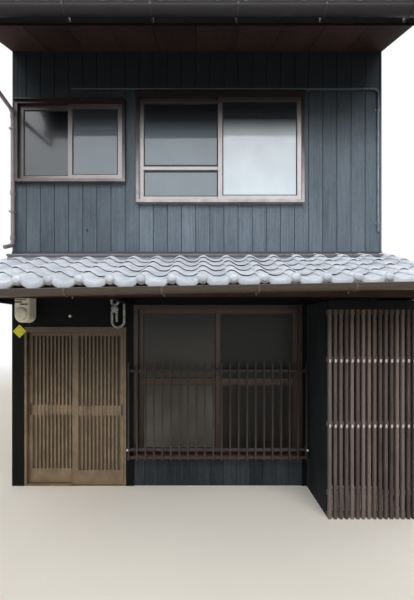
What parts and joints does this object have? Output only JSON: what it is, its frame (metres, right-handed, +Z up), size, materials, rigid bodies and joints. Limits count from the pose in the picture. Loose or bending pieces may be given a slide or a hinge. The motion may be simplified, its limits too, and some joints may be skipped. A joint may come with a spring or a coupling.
{
  "type": "machiya townhouse",
  "caption": "Narrow two-storey timber townhouse for a row: tiled gable and pent roofs, dark boards, sliding lattice entrance door, aluminium windows, window guard and lattice box.",
  "frame": {"origin": "on the ground at the centre of the footprint", "axes": "+Z up, +Y from the street front to the back, +X to the right as seen from the street"},
  "size_m": [4.1656, 7.7918, 6.3882],
  "materials": {
    "floor_mortar": "trowelled mortar",
    "wall_plaster": "lime plaster on a timber frame",
    "dark_timber": "dark stained softwood",
    "blue_grey_boards": "stained cedar boards",
    "roof_timber": "weathered softwood",
    "floor_timber": "planed softwood",
    "roof_tile": "smoked silver-grey clay",
    "brown_gutter": "brown moulded gutter",
    "hook_metal": "pale coated steel",
    "rain_pipe": "mauve-grey moulded pipe",
    "flashing_metal": "brown coated sheet",
    "window_metal": "bronze anodised",
    "window_pane": "float and frosted glass",
    "door_metal": "tan-bronze anodised",
    "door_pane": "frosted glass",
    "guard_metal": "bronze anodised",
    "lattice_timber": "grey-brown weathered bars",
    "meter_case": "beige moulded case",
    "conduit_metal": "grey coated tube",
    "fitting_metal": "dark grey coated",
    "button_plastic": "white moulded",
    "tag_yellow": "plain yellow enamel"
  },
  "bodies": {
    "house": {"ground_floor": "floor_mortar", "party_wall_left": "wall_plaster", "party_wall_right": "wall_plaster", "front_posts": "dark_timber", "front_wall_over_door": "dark_timber", "front_wall_below_window": "dark_timber", "front_wall_over_window": "dark_timber", "front_wall_behind_lattice": "dark_timber", "upper_front_wall": "wall_plaster", "rear_wall": "wall_plaster", "front_boards": "blue_grey_boards", "rear_boards": "blue_grey_boards", "upper_floor": "floor_timber", "floor_joists": "floor_timber", "roof_beams": "roof_timber", "roof_rafters": "roof_timber", "roof_deck": "roof_timber", "roof_tiles": "roof_tile", "roof_ridge": "roof_tile", "eave_boards": "roof_timber", "eave_gutters": "brown_gutter", "gutter_hooks": "hook_metal", "downpipe": "rain_pipe", "pent_roof_frame": "dark_timber", "pent_roof_rafters": "dark_timber", "pent_roof_deck": "dark_timber", "pent_roof_tiles": "roof_tile", "pent_flashing": "flashing_metal", "pent_gutter": "brown_gutter", "upper_window_frames": "window_metal", "upper_window_sashes": "window_metal", "upper_window_glass": "window_pane", "ground_window_frame": "window_metal", "ground_window_sashes": "window_metal", "ground_window_glass": "window_pane", "rear_window_frames": "window_metal", "rear_window_sashes": "window_metal", "rear_window_glass": "window_pane", "window_guard": "guard_metal", "door_frame": "door_metal", "lattice_box_body": "dark_timber", "lattice_box_front": "lattice_timber", "electric_meter": "meter_case", "conduit": "conduit_metal", "service_fitting": "fitting_metal", "bell_button": "button_plastic", "corner_tag": "tag_yellow"},
    "left_door": {"door_sash_left": "door_metal", "door_glass_left": "door_pane"},
    "right_door": {"door_sash_right": "door_metal", "door_glass_right": "door_pane"}
  },
  "joints": [
    {"name": "left_door_slide", "type": "slide", "parent": "house", "child": "left_door", "axis": [1, 0, 0], "range_m": [0, 0.49]},
    {"name": "right_door_slide", "type": "slide", "parent": "house", "child": "right_door", "axis": [1, 0, 0], "range_m": [-0.49, 0]}
  ]
}
